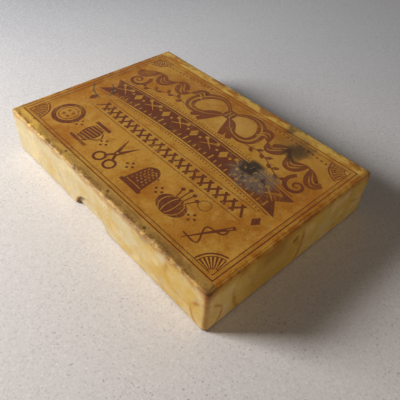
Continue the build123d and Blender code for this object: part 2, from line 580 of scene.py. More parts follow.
@dataclass
class LabelSheet:
    """Printed label, pasted over the paper turned on to the lid.

    Attributes:
        half_length: Half of the sheet along x.
        half_width: Half of the sheet along y.
        top: Height of its face over the turned-over paper.
        sink: How much lower it lies inside that paper.
        sink_start: Half sizes where it starts to sink.
        sink_end: Half sizes where it is down.
        thickness: Of the sheet.
        cockle: Height of the waves that the paste left.
        step: Distance from one point of its grid to the next.
        waves: Long and short waves of the cockles.
        worn: Seed and most of the wear on the left, right, near and far edge.
        bend: Powers that keep the wear near to the edges, along x and y.
    """

    half_length: float = 54.63
    half_width: float = 38.13
    top: float = 18.975
    sink: float = 0.15
    sink_start: Point = (50.88, 34.38)
    sink_end: Point = (50.28, 33.78)
    thickness: float = 0.09
    cockle: float = 0.07
    step: float = 0.62
    waves: tuple[Ripple, Ripple] = (Ripple(5, 16.0), Ripple(6, 4.5))
    worn: tuple[tuple[int, float], ...] = ((21, 0.4), (24, 0.4), (27, 0.6), (30, 0.4))
    bend: tuple[int, int] = (60, 40)

    def height(self, x: Array, y: Array) -> Array:
        """Height of the face: the top less the sink, plus cockles where it is sunk.

        Args:
            x: First coordinate of each place.
            y: Second coordinate of each place.

        Returns:
            One height for each place.
        """
        ends = [
            (place - end) / (start - end)
            for place, start, end in zip((np.abs(x), np.abs(y)), self.sink_start, self.sink_end)
        ]
        sunk = 1 - smooth_step(np.maximum(*ends), 0, 1)
        slow, quick = (ripple.at(x, y) for ripple in self.waves)
        wave = np.clip(0.5 + 0.5 * slow + 0.22 * quick, 0, 1.4)
        return self.top - sunk * (self.sink - self.cockle * wave)

    def nibble(self, along: Array, seed: int, most: float) -> Array:
        """How much is worn off an edge: ragged, and deeper in a few bites.

        Args:
            along: Places along the edge.
            seed: Picks the bites.
            most: Of the wear.

        Returns:
            The wear at each place.
        """
        rough = Ripple(seed, 3.0).at(along) + 0.7 * Ripple(seed + 1, 0.9).at(along)
        bites = smooth_step(Ripple(seed + 2, 8.0).at(along), 0.15, 0.9)
        return most * np.clip(0.22 + 0.16 * rough + 0.6 * bites * (1 + 0.5 * rough), 0, 1)

    def build(self, material: Material) -> None:
        """Make the sheet, with worn edges, and dress it.

        A place of the grid is u * half - sign(u) * nibble * |u|^bend, and the same along y.

        Args:
            material: Its finish.
        """
        columns, rows = (round(2 * half / self.step) for half in (self.half_length, self.half_width))
        u, v = np.meshgrid(np.linspace(-1, 1, columns), np.linspace(-1, 1, rows))
        x, y = u * self.half_length, v * self.half_width
        left, right, near, far = self.worn
        worn_x = np.where(u < 0, self.nibble(y, *left), self.nibble(y, *right))
        worn_y = np.where(v < 0, self.nibble(x, *near), self.nibble(x, *far))
        x = x - np.sign(u) * worn_x * np.abs(u) ** self.bend[0]
        y = y - np.sign(v) * worn_y * np.abs(v) ** self.bend[1]
        face = raised(points(x, y), self.height(x, y))
        pile = Pile()
        pile.add_sheet(face, face - np.array([0, 0, self.thickness]), closed=False)
        piece = pile.piece("lid_label_sheet", "lid")
        dress(piece, material)
        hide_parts("lid_label")


# Finishes


@dataclass(frozen=True)
class Blot:
    """Stain that spreads from a point, with a ragged rim.

    Attributes:
        tone: Its colour.
        centre: Its middle, in plan alone if it has two coordinates.
        rim: Distance from the middle where it ends.
        core: Distance within which it is full.
        share: How much it covers at the core.
        ragged: How far its rim is pushed in and out.
        size: Of the bays and tongues of its rim.
    """

    tone: Colour
    centre: tuple[float, ...]
    rim: float
    core: float
    share: float
    ragged: float
    size: float


class Paint:
    """Node tree of one finish, with its lengths in millimetres of the object.

    Coats are laid one over the other. What a coat covers is a mask, from 0 to 1.
    """

    def __init__(self, name: str) -> None:
        """Start with a plain shader.

        Args:
            name: Of the material.
        """
        self.material = bpy.data.materials.new(name)
        self.material.use_nodes = True
        self.tree = self.material.node_tree
        self.shader = self.tree.nodes["Principled BSDF"]
        source = self.tree.nodes.new("ShaderNodeTexCoord").outputs["Object"]
        self.place = self.node("ShaderNodeVectorMath", {0: source, "Scale": 1 / MM}, operation="SCALE")
        self.x, self.y, self.z = self.node("ShaderNodeSeparateXYZ", {0: self.place}).node.outputs
        self.plan = self.node("ShaderNodeCombineXYZ", {"X": self.x, "Y": self.y})
        self.colour: Feed = BLACK

    def node(self, kind: str, feeds: dict[int | str, Feed], **options: Any) -> Socket:
        """Add a node.

        Args:
            kind: Type of the node.
            feeds: What goes into each input, by its number or name.
            **options: Settings of the node.

        Returns:
            Its first output.
        """
        made = self.tree.nodes.new(kind)
        for option, choice in options.items():
            setattr(made, option, choice)
        for key, feed in feeds.items():
            if isinstance(feed, Socket):
                self.tree.links.new(feed, made.inputs[key])
            else:
                made.inputs[key].default_value = feed
        return made.outputs[0]

    def calc(self, operation: str, first: Feed, second: Feed = 0.0) -> Socket:
        """Arithmetic on one or two numbers."""
        return self.node("ShaderNodeMath", {0: first, 1: second}, operation=operation)

    def plus(self, *values: Feed) -> Socket:
        """Sum of several values."""
        return reduce(lambda one, other: self.calc("ADD", one, other), values)

    def both(self, *masks: Feed) -> Socket:
        """Product of several masks."""
        return reduce(lambda one, other: self.calc("MULTIPLY", one, other), masks)

    def either(self, *masks: Feed) -> Socket:
        """Largest of several masks."""
        return reduce(lambda one, other: self.calc("MAXIMUM", one, other), masks)

    def laid(self, scale: tuple[float, float, float], shift: float = 0.0) -> Socket:
        """Place with each direction scaled, and moved to another part of a cloud."""
        feeds = {"Vector": self.place, "Location": (shift, shift, shift), "Scale": scale}
        return self.node("ShaderNodeMapping", feeds)

    def cloud(
        self,
        size: float,
        detail: float = 2.0,
        part: float = 0.0,
        scale: tuple[float, float, float] = (1.0, 1.0, 1.0),
    ) -> Socket:
        """Random value, mostly near a half, in blots of a size. A part is another such cloud."""
        place = self.laid(scale, part) if part else self.place
        return self.node("ShaderNodeTexNoise", {"Vector": place, "Scale": 1 / size, "Detail": detail})

    def sway(self, cloud: Socket, reach: float) -> Socket:
        """Cloud laid about 0: (cloud - 1/2) * reach."""
        return self.both(self.calc("SUBTRACT", cloud, 0.5), reach)

    def level(self, value: Socket, low: float, high: float, top: float = 1.0) -> Socket:
        """S curve over a value.

        Args:
            value: What the curve is taken of.
            low: Where it is 0, which may be above high.
            high: Where it is at the top.
            top: Its greatest value.

        Returns:
            The curve's value.
        """
        ends = {"From Min": low, "From Max": high, "To Min": 0.0, "To Max": top}
        if low > high:
            ends = {"From Min": high, "From Max": low, "To Min": top, "To Max": 0.0}
        return self.node("ShaderNodeMapRange", {"Value": value, **ends}, interpolation_type="SMOOTHSTEP")

    def line(self, value: Socket, middle: float, width: float) -> Socket:
        """Mask that is 1 where the value is at the middle, and 0 half a width away."""
        off = self.calc("ABSOLUTE", self.calc("SUBTRACT", value, middle))
        return self.level(off, width / 2, 0.0)

    def away(
        self, centre: Sequence[float], ragged: float = 0.0, size: float = 2.0, place: Socket | None = None
    ) -> Socket:
        """Distance from a point, made uneven by a cloud.

        Args:
            centre: The point, in plan alone if it has two coordinates.
            ragged: How far the cloud pushes the distance in and out.
            size: Of the cloud's blots.
            place: What is measured, if not the place itself.

        Returns:
            The distance in millimetres.
        """
        measured, point = self.place, tuple(centre)
        if len(centre) == 2:
            measured, point = self.plan, (*centre, 0.0)
        feeds = {0: place or measured, 1: point}
        distance = self.node("ShaderNodeVectorMath", feeds, operation="DISTANCE").node.outputs["Value"]
        return self.plus(distance, self.sway(self.cloud(size, 4.0), 2 * ragged)) if ragged else distance

    def mix(self, first: Feed, second: Feed, share: Feed) -> Socket:
        """Colour that goes from the first to the second."""
        # Inputs 6 and 7 and output 2 are the node's own for colours.
        mixed = self.node("ShaderNodeMix", {0: share, 6: first, 7: second}, data_type="RGBA")
        return mixed.node.outputs[2]

    def over(self, tone: Feed, mask: Feed) -> None:
        """Lay a coat of a tone."""
        self.colour = self.mix(self.colour, tone, mask)

    def stain(self, blot: Blot) -> None:
        """Lay a blot."""
        reach = self.away(blot.centre, blot.ragged, blot.size)
        self.over(blot.tone, self.level(reach, blot.rim, blot.core, blot.share))

    def finish(self, roughness: Socket, relief: Socket, depth: float, gloss: float = 0.5) -> Material:
        """Join the tree to the shader.

        Args:
            roughness: Of the surface.
            relief: Height of the fine relief, from 0 to 1.
            depth: Of the relief, in millimetres.
            gloss: Strength of what the surface mirrors, where a half is usual.

        Returns:
            The material.
        """
        bump = self.node("ShaderNodeBump", {"Height": relief, "Strength": 1.0, "Distance": depth * MM})
        for name, feed in (("Normal", bump), ("Base Color", self.colour), ("Roughness", roughness)):
            self.tree.links.new(feed, self.shader.inputs[name])
        self.shader.inputs["Specular IOR Level"].default_value = gloss
        return self.material


# Finishes of this box


@dataclass(frozen=True)
class LabelAge:
    """What the years did to the label, paper and print alike, with a painted highlight along its rounded
    edges.

    Attributes:
        tan: The paper where it is plain.
        orange: Where it has gone darkest.
        pale: Where it is rubbed.
        margin: Outside the print, towards the far edge.
        olive: Outside the print, towards the near edge.
        brown: Blots and chips.
        soot: Black of the scuff and of the spots of ink.
        film: Grey film of the scuff.
        teal: Two strokes of a pen.
        bare: Pulp that shows where an edge is chipped, and a painted highlight along the rounded edges.
        ink: Of the print.
        faded: Of the print towards the far edge.
        half_length: Half of the lid along x, from which the worn edges count.
        half_width: Half of the lid along y.
        rubbed: Pale place over the band.
        scuff: Middle of the scuff, times its scale.
        scuff_scale: How much x and y are scaled for it, so that it becomes long.
        scuffed: Black side of the scuff.
        blots: The larger stains.
        spots: Place and radius of small dark spots.
        wet_ring: Place of a ring, then its radius and width.
        strokes: Centre and radius of each stroke of the pen, then its middle and reach.
        corners: Place, reach and strength of the dirt on the corners.
    """

    tan: Colour = srgb(202, 147, 56)
    orange: Colour = srgb(170, 97, 12)
    pale: Colour = srgb(213, 165, 80)
    margin: Colour = srgb(229, 184, 86)
    olive: Colour = srgb(182, 141, 72)
    brown: Colour = srgb(104, 60, 22)
    soot: Colour = srgb(44, 29, 18)
    film: Colour = srgb(122, 106, 88)
    teal: Colour = srgb(36, 66, 62)
    bare: Colour = srgb(232, 192, 112)
    ink: Colour = srgb(110, 54, 25)
    faded: Colour = srgb(144, 80, 34)
    half_length: float = 56.0
    half_width: float = 39.5
    rubbed: Blot = Blot(pale, (5.5, 22.0), 10.0, 4.0, 0.7, 5.0, 7.0)
    scuff: tuple[float, float, float] = (22.8, 4.6, 0.0)
    scuff_scale: tuple[float, float, float] = (0.74, 1.05, 0.0)
    scuffed: Blot = Blot(soot, (27.2, 7.8), 5.2, 2.4, 0.9, 3.4, 2.6)
    blots: tuple[Blot, ...] = (
        Blot(brown, (28.0, 30.0), 11.0, 3.0, 0.42, 8.0, 6.0),
        Blot(soot, (32.0, 27.4), 7.0, 2.4, 0.8, 5.0, 3.4),
        Blot(soot, (22.0, 36.2), 3.6, 1.0, 0.7, 3.0, 2.5),
    )
    spots: tuple[tuple[float, float, float], ...] = (
        (-8.2, 0.3, 1.5), (-32.0, -10.5, 0.8), (44.5, -3.0, 0.7), (12.0, -21.0, 0.6),
        (-20.0, -36.6, 0.9), (6.0, -36.9, 1.0), (-44.0, -35.6, 0.7), (26.0, -37.4, 0.9),
    )
    wet_ring: tuple[float, ...] = (30.6, -17.2, 2.2, 1.1)
    strokes: tuple[tuple[float, ...], ...] = (
        (-42.0, 4.0, 12.5, -47.0, -7.3, 7.0), (-50.0, -9.2, 11.0, -43.0, -0.7, 5.5),
    )
    corners: tuple[tuple[float, ...], ...] = (
        (56.5, -40.0, 4.8, 0.8), (56.5, 40.0, 4.6, 0.85),
        (-56.5, -40.0, 3.0, 0.45), (-56.5, 40.0, 3.4, 0.45),
    )


class LabelPaint(Paint):
    """Finish of the label: its paper or its print, under the same stains."""

    age: LabelAge = LabelAge()

    def paper(self) -> None:
        """Start with the sheet before its stains: tan in blots, with a margin on three sides."""
        age = self.age
        broad, blots, small = self.cloud(22.0, 3.0), self.cloud(4.0, 5.0), self.cloud(1.6, 5.0, 5.0)
        left = self.level(self.plus(self.x, self.both(self.y, -0.6)), 0.0, -62.0, 0.9)
        deep = self.either(
            self.both(left, self.level(broad, 0.3, 0.58)),
            self.level(broad, 0.5, 0.68, 0.75),
            self.both(self.level(self.x, 6.0, 52.0), self.level(broad, 0.36, 0.62, 0.8)),
        )
        self.colour = self.mix(age.tan, age.orange, deep)
        self.over(age.pale, self.level(blots, 0.46, 0.74, 0.5))
        self.over(age.orange, self.level(self.cloud(3.0, 5.0, 7.0), 0.5, 0.76, 0.55))
        self.over(age.brown, self.level(small, 0.56, 0.8, 0.3))
        self.over(age.pale, self.level(small, 0.44, 0.24, 0.35))
        self.stain(age.rubbed)
        blotch = self.level(self.cloud(5.0, 4.0, 3.0, (0.7, 1.6, 1.0)), 0.44, 0.62)
        uneven = self.sway(blots, 1.6)
        along, across = self.plus(self.x, uneven), self.plus(self.y, uneven)
        far = self.mix(age.margin, age.orange, self.both(blotch, 0.85))
        self.over(far, self.level(across, 34.3, 35.0))
        self.over(self.mix(age.tan, age.orange, blotch), self.level(along, 53.2, 54.2, 0.8))
        rim = self.level(self.plus(self.x, self.both(uneven, 9.0)), -46.0, -4.0)
        rim = self.mix(self.mix(age.margin, age.olive, rim), age.brown, self.both(blotch, 0.5))
        self.over(rim, self.level(across, -35.4, -36.2, 0.9))

    def scuff(self) -> None:
        """Lay the scuff: a grey film, black on one side, with rubbed specks."""
        age = self.age
        away = self.away(age.scuff, 3.4, 4.0, self.laid(age.scuff_scale))
        film, black, bare = self.cloud(1.4, 4.0), self.cloud(2.1, 4.0), self.cloud(1.9, 3.0, 13.0)
        self.over(age.film, self.both(self.level(away, 8.0, 5.0, 0.8), self.level(film, 0.3, 0.48)))
        self.stain(age.scuffed)
        self.over(age.soot, self.both(self.level(away, 7.0, 3.5), self.level(black, 0.54, 0.64, 0.7)))
        self.over(age.pale, self.both(self.level(away, 6.0, 4.0), self.level(bare, 0.6, 0.64, 0.7)))

    def edges(self) -> None:
        """Lay chips and rubbed rims along the edges, the pale ones partly a painted highlight of the
        rounded edges, less so on the right, and dirty corners.
        """
        age = self.age
        end = self.calc("SUBTRACT", age.half_length, self.calc("ABSOLUTE", self.x))
        side = self.calc("SUBTRACT", age.half_width, self.calc("ABSOLUTE", self.y))
        edge = self.plus(self.calc("MINIMUM", end, side), self.sway(self.cloud(0.9, 4.0), 2.6))
        rough = self.calc("SUBTRACT", 1.0, self.level(self.x, 52.0, 54.0, 0.7))
        coats = (
            (age.brown, 2.6, 1.2, self.level(self.cloud(3.4, 4.0), 0.46, 0.56), 0.55),
            # Pale rims: rubbed pulp, partly a painted highlight along the rounded edges.
            (age.bare, 1.7, 1.0, self.level(self.cloud(2.6, 4.0, 11.0), 0.5, 0.6), 0.4),
            (age.soot, 2.2, 1.2, self.level(self.cloud(0.8, 2.0, 17.0), 0.58, 0.66), 0.6),
        )
        for tone, start, full, patches, share in coats:
            self.over(tone, self.both(self.level(edge, start, full), patches, rough, share))
        for x, y, reach, share in age.corners:
            away = self.away((x, y), reach * 0.3, 1.8)
            self.over(age.brown, self.level(away, reach * 1.15, reach * 0.3, share))
            self.over(age.soot, self.level(away, reach * 0.55, reach * 0.25, share))

    def stains(self) -> None:
        """Lay the scuff, the stains, the strokes of the pen and the wear of the edges."""
        age = self.age
        self.scuff()
        for blot in age.blots:
            self.stain(blot)
        x, y, radius, width = age.wet_ring
        self.over(age.brown, self.both(self.line(self.away((x, y), 0.5), radius, width), 0.6))
        for x, y, radius in age.spots:
            self.stain(Blot(age.soot, (x, y), radius, radius * 0.2, 0.75, 0.6, 1.0))
        for x, y, radius, middle_x, middle_y, reach in age.strokes:
            here = self.level(self.away((middle_x, middle_y)), reach, reach * 0.6, 0.75)
            self.over(age.teal, self.both(self.line(self.away((x, y), 0.3), radius, 1.3), here))
        self.over(age.brown, self.level(self.cloud(0.6, 1.0), 0.7, 0.78, 0.6))
        self.edges()

    def close(self) -> Material:
        """Lay the stains, then the sheen and grain that paper and print share.

        Returns:
            The material.
        """
        self.stains()
        self.over(BLACK, self.level(self.cloud(0.5, 3.0), 0.42, 0.7, 0.2))
        roughness = self.plus(self.both(self.cloud(6.0, 3.0), 0.35), 0.3)
        relief = self.plus(self.both(self.cloud(1.3, 4.0), 0.7), self.both(self.cloud(0.22, 2.0), 0.3))
        return self.finish(roughness, relief, 0.12, 0.2)

    def sheet(self) -> Material:
        """Finish of the label's own paper."""
        self.paper()
        return self.close()

    def ink(self) -> Material:
        """Finish of the ink, faded towards the far edge and worn back to the paper in spots.

        Returns:
            The material.
        """
        self.paper()
        worn = self.plus(self.both(self.cloud(0.7, 4.0), 0.5), self.both(self.cloud(9.0, 3.0), 0.5))
        worn = self.level(self.plus(worn, self.level(self.x, -10.0, -50.0, 0.05)), 0.52, 0.7, 0.6)
        ink = self.mix(self.age.ink, self.age.faded, self.level(self.y, 9.0, 15.0, 0.5))
        self.colour = self.mix(ink, self.colour, worn)
        return self.close()

    def lights(self) -> Material:
        """Finish of the paper left plain within the ink, of which a trace covers it.

        Returns:
            The material.
        """
        self.paper()
        self.over(self.age.ink, 0.12)
        return self.close()


@dataclass(frozen=True)
class CoverAge:
    """What the years did to the glazed cover paper, once cream, with painted light round the near corner
    and a painted highlight on the lid's fold.

    Attributes:
        cream: Where it kept its colour.
        golden: Where it darkened.
        tide: Brown of dried damp and of dirt.
        ring: Lines round dried damp.
        rust: Reddish brown of the worn upright edge.
        grime: Dirt on the tips.
        bare: Pulp where the face of the paper is rubbed off, also laid as painted light near the near
            corner and as a painted highlight on the lid's fold.
        corner: Place on the near corner, round which the right end wall is painted paler: painted light
            that reaches it from the front.
        rings: Centre, radius, width and strength of the tide line of each damp patch.
        patches: Centre, reach and strength of brown patches.
        uprights: Place, reach and strength of the wear on the upright edges.
        tips: Dirt on the tips of the corners.
    """

    cream: Colour = srgb(196, 179, 138)
    golden: Colour = srgb(194, 157, 71)
    tide: Colour = srgb(132, 84, 8)
    ring: Colour = srgb(158, 100, 22)
    rust: Colour = srgb(150, 92, 32)
    grime: Colour = srgb(64, 37, 15)
    bare: Colour = srgb(220, 196, 146)
    corner: tuple[float, float, float] = (56.0, -39.5, 7.0)
    rings: tuple[tuple[float, ...], ...] = (
        (56.0, -39.5, 6.0, 6.4, 2.4, 0.8), (56.0, -12.5, 9.0, 15.8, 2.8, 0.85),
        (56.0, -39.5, 4.0, 20.0, 4.0, 0.25), (45.0, -39.5, 13.0, 7.0, 2.4, 0.4),
        (-30.0, -39.5, 3.0, 9.0, 3.0, 0.25), (56.0, 36.0, 16.0, 8.0, 2.4, 0.4),
    )
    patches: tuple[tuple[float, ...], ...] = (
        (56.0, -11.5, 17.0, 9.0, 0.55), (56.0, -12.0, 9.0, 17.0, 0.3), (27.0, -39.5, 19.0, 5.0, 0.6),
        (-32.0, -39.5, 19.0, 5.0, 0.3), (56.0, -1.2, 13.2, 2.2, 0.8), (56.0, 0.6, 10.0, 1.6, 0.4),
        (56.0, 22.0, 4.0, 1.4, 0.4), (-20.0, 39.5, 12.0, 9.0, 0.3), (-56.0, 10.0, 8.0, 10.0, 0.3),
    )
    uprights: tuple[tuple[float, ...], ...] = (
        (56.0, -39.5, 1.9, 0.7), (56.0, 39.5, 1.8, 0.6),
        (-56.0, -39.5, 1.2, 0.3), (-56.0, 39.5, 1.4, 0.4),
    )
    tips: tuple[Blot, ...] = (
        Blot(rust, (56.2, -39.7, 19.4), 6.0, 2.0, 0.7, 1.4, 1.6),
        Blot(grime, (56.2, -39.7, 19.4), 2.9, 1.1, 0.765, 1.4, 1.6),
        Blot(grime, (56.2, 39.7, 19.4), 4.0, 1.4, 0.85, 1.8, 1.6),
        Blot(grime, (-56.0, -39.5, 19.2), 2.2, 0.6, 0.425, 1.0, 1.6),
        Blot(grime, (56.0, -39.5, 0.0), 2.6, 0.6, 0.595, 1.0, 1.6),
    )


class CoverPaint(LabelPaint):
    """Finish of a cover paper. On the lid's fold it takes on the label's."""

    wall: CoverAge = CoverAge()

    def blotches(self, darkening: float) -> None:
        """Start with cream that turns golden towards the worn corner, in clouds, with a paler patch of
        painted light on the right end wall round the near corner.

        Args:
            darkening: How much of it has gone golden, from 0 to 1.
        """
        wall = self.wall
        right = self.level(self.x, 55.2, 55.8)
        gold = self.plus(
            self.both(self.level(self.x, -64.0, 58.0), 0.6), self.sway(self.cloud(13.0, 4.0), 1.5),
            self.sway(self.cloud(4.5, 5.0), 1.4), self.both(right, 0.3), darkening - 0.5,
        )
        self.colour = self.mix(wall.cream, wall.golden, self.level(gold, 0.02, 1.0))
        self.over(wall.bare, self.level(self.cloud(7.0, 4.0, 9.0), 0.5, 0.7, 0.5))
        # Painted light: a paler patch on the right end wall round the near corner.
        corner = self.level(self.away(wall.corner, 5.0, 6.0), 16.0, 7.0)
        self.over(wall.bare, self.both(corner, right, 0.35))

    def damp(self) -> None:
        """Lay tide lines of dried damp, broken and uneven, and brown patches."""
        wall = self.wall
        broken = self.plus(self.level(self.cloud(5.0, 2.0), 0.38, 0.56, 0.7), 0.3)
        for *centre, radius, width, share in wall.rings:
            reach = self.away(centre, 1.5, 5.0)
            self.over(wall.ring, self.both(self.line(reach, radius, width), broken, share))
            self.over(wall.golden, self.level(reach, radius, radius - 3.0, share * 0.6))
        for *centre, rim, share in wall.patches:
            self.stain(Blot(wall.tide, tuple(centre), rim, rim * 0.3, share, rim * 0.35, rim * 0.6))

    def wear(self) -> None:
        """Lay a dirty hem, worn upright edges, dark tips and specks."""
        wall = self.wall
        hem = self.level(self.plus(self.z, self.sway(self.cloud(2.0, 4.0), 2.0)), 1.5, 0.2)
        self.over(wall.tide, self.both(hem, self.level(self.cloud(8.0), 0.4, 0.6), 0.5))
        for x, y, reach, share in wall.uprights:
            self.stain(Blot(wall.rust, (x, y), reach, reach * 0.2, share, 0.8, 1.6))
        for tip in wall.tips:
            self.stain(tip)
        specks = self.level(self.cloud(0.9, 1.0), 0.68, 0.77)
        self.over(wall.tide, self.both(specks, self.level(self.cloud(11.0), 0.45, 0.62), 0.6))

    def lid_only(self, notch: Notch, open_edge: float) -> None:
        """Lay painted shade round the rim of the notch, and the label's paper and chips over the fold,
        whose pale chips are partly a painted highlight.

        Args:
            notch: Of the lid, round whose rim the shade is painted.
            open_edge: Height of the lid's open edge.
        """
        wall = self.wall
        in_wall = self.node("ShaderNodeCombineXYZ", {"X": self.x, "Z": self.z})
        # Painted shade: a dark band just outside the arc of the notch.
        reach = self.away((notch.middle, 0.0, open_edge - notch.drop), 0.5, 1.5, in_wall)
        self.over(wall.tide, self.level(reach, notch.radius + 0.9, notch.radius, 0.6))
        handled = self.plus(self.z, self.sway(self.cloud(6.0, 4.0), 8.0))
        self.over(wall.ring, self.level(handled, 15.8, 18.6, 0.55))
        below = self.colour
        self.paper()
        self.stains()
        fold = self.plus(self.z, self.sway(self.cloud(3.2, 5.0), 1.8))
        self.colour = self.mix(below, self.colour, self.level(fold, 17.9, 18.7))
        some = self.both(self.level(self.cloud(8.0, 2.0), 0.36, 0.6), self.level(self.x, 55.8, 54.0))
        pale, brown = self.cloud(1.3, 4.0, 3.0), self.cloud(1.3, 4.0, 8.0)
        # Pale chips on the fold: rubbed pulp, partly a painted highlight of the rounded fold.
        chips = self.both(self.level(self.z, 17.8, 18.5), self.level(pale, 0.54, 0.66))
        self.over(wall.bare, self.both(chips, some, 0.28))
        chips = self.both(self.level(self.z, 17.0, 18.0), self.level(brown, 0.57, 0.66))
        self.over(wall.tide, self.both(chips, self.plus(self.both(some, 0.7), 0.3), 0.75))

    def cover(self, paper: CoverPaper) -> Material:
        """Finish of one cover paper.

        Args:
            paper: The paper, with its darkening and its notch, if it is the lid's.

        Returns:
            The material.
        """
        fine = self.cloud(1.1, 4.0)
        self.blotches(paper.darkening)
        self.damp()
        self.wear()
        self.over(BLACK, self.level(fine, 0.5, 0.75, 0.16))
        if paper.round.notch is not None:
            self.lid_only(paper.round.notch, paper.open_edge)
        roughness = self.plus(self.both(self.cloud(9.0, 3.0), 0.35), 0.3)
        relief = self.plus(self.both(fine, 0.6), self.both(self.cloud(0.25, 2.0), 0.4))
        return self.finish(roughness, relief, 0.12, 0.2)


@dataclass(frozen=True)
class Plain:
    """Finish of one stuff, with its mottling and grain.

    Attributes:
        name: Of the material.
        light: Colour of its lighter spots.
        dark: Colour of its darker spots.
        blot: Size of the spots in millimetres.
        grain: Size of the grain in millimetres.
        roughness: Usual roughness.
        depth: Of the grain, in millimetres.
        metal: Whether it is metal.
    """

    name: str
    light: Colour
    dark: Colour
    blot: float = 6.0
    grain: float = 0.5
    roughness: float = 0.7
    depth: float = 0.1
    metal: bool = False

    def paint(self) -> Material:
        """Mottle the two colours, and add specks and grain.

        Returns:
            The material.
        """
        p = Paint(self.name)
        blots, grain = p.cloud(self.blot, 4.0), p.cloud(self.grain, 3.0)
        p.colour = p.mix(self.light, self.dark, p.level(blots, 0.35, 0.68))
        p.over(self.dark, p.level(grain, 0.6, 0.75, 0.5))
        p.shader.inputs["Metallic"].default_value = float(self.metal)
        return p.finish(p.plus(p.sway(blots, 0.3), self.roughness), grain, self.depth)


@dataclass(frozen=True)
class TableTop:
    """Pale grainy table that fades into the backdrop. Its warm front and cool back are painted light, and
    it carries painted shade far out on the left and round the foot of the large light.

    Attributes:
        warm: Colour of the front, warm as painted light where the light falls.
        cool: Colour of the back, cooler as painted shade where the light dims.
        dim: Painted shade, far out on the left and round the foot of the large light.
        fleck: Light flecks.
        speck: Dark flecks.
        backdrop: What is seen beyond the table.
        centre: Where the fade is measured from.
        fade: Distances where it starts and where the table is gone.
        glare: Point of the table under the large light, round which the shade is painted.
    """

    warm: Colour = srgb(235, 229, 224)
    cool: Colour = srgb(229, 230, 233)
    dim: Colour = srgb(176, 176, 180)
    fleck: Colour = srgb(248, 247, 244)
    speck: Colour = srgb(150, 146, 142)
    backdrop: Colour = srgb(208, 208, 209)
    centre: tuple[float, float] = (20.0, 50.0)
    fade: tuple[float, float] = (226.0, 340.0)
    glare: tuple[float, float] = (-290.0, -312.0)

    def paint(self) -> Material:
        """Blend both tones from front to back as painted light, lay painted shade on the left and round
        the foot of the large light, fleck them and let the table fade.

        Returns:
            The material.
        """
        p = Paint("table_top")
        back = p.level(p.calc("SUBTRACT", p.y, p.both(p.x, 0.6)), -60.0, 190.0)
        # Painted light: warm at the front, cooler towards the back.
        p.colour = p.mix(self.warm, self.cool, back)
        # Painted shade far out on the left and round the foot of the large light.
        p.over(self.dim, p.level(p.x, -70.0, -220.0, 0.75))
        p.over(self.dim, p.level(p.away(self.glare), 340.0, 190.0))
        grain, flecks, specks = p.cloud(0.7, 4.0, 43.0), p.cloud(0.9, 1.0), p.cloud(0.8, 1.0, 31.0)
        p.over(self.speck, p.level(grain, 0.5, 0.74, 0.26))
        p.over(self.fleck, p.level(grain, 0.46, 0.28, 0.6))
        p.over(self.fleck, p.level(flecks, 0.64, 0.72, 0.9))
        p.over(self.speck, p.both(p.level(specks, 0.67, 0.74), p.level(p.cloud(26.0), 0.4, 0.58), 0.6))
        material = p.finish(p.plus(p.both(p.cloud(30.0), 0.1), 0.55), p.cloud(0.8), 0.02, 0.05)
        gone = p.both(p.level(p.away(self.centre), *self.fade), seen_rays(p.tree))
        glow = p.node("ShaderNodeEmission", {"Color": self.backdrop, "Strength": 1.0})
        faded = p.node("ShaderNodeMixShader", {0: gone, 1: p.shader.outputs[0], 2: glow})
        p.tree.links.new(faded, p.tree.nodes["Material Output"].inputs["Surface"])
        return material


# Print


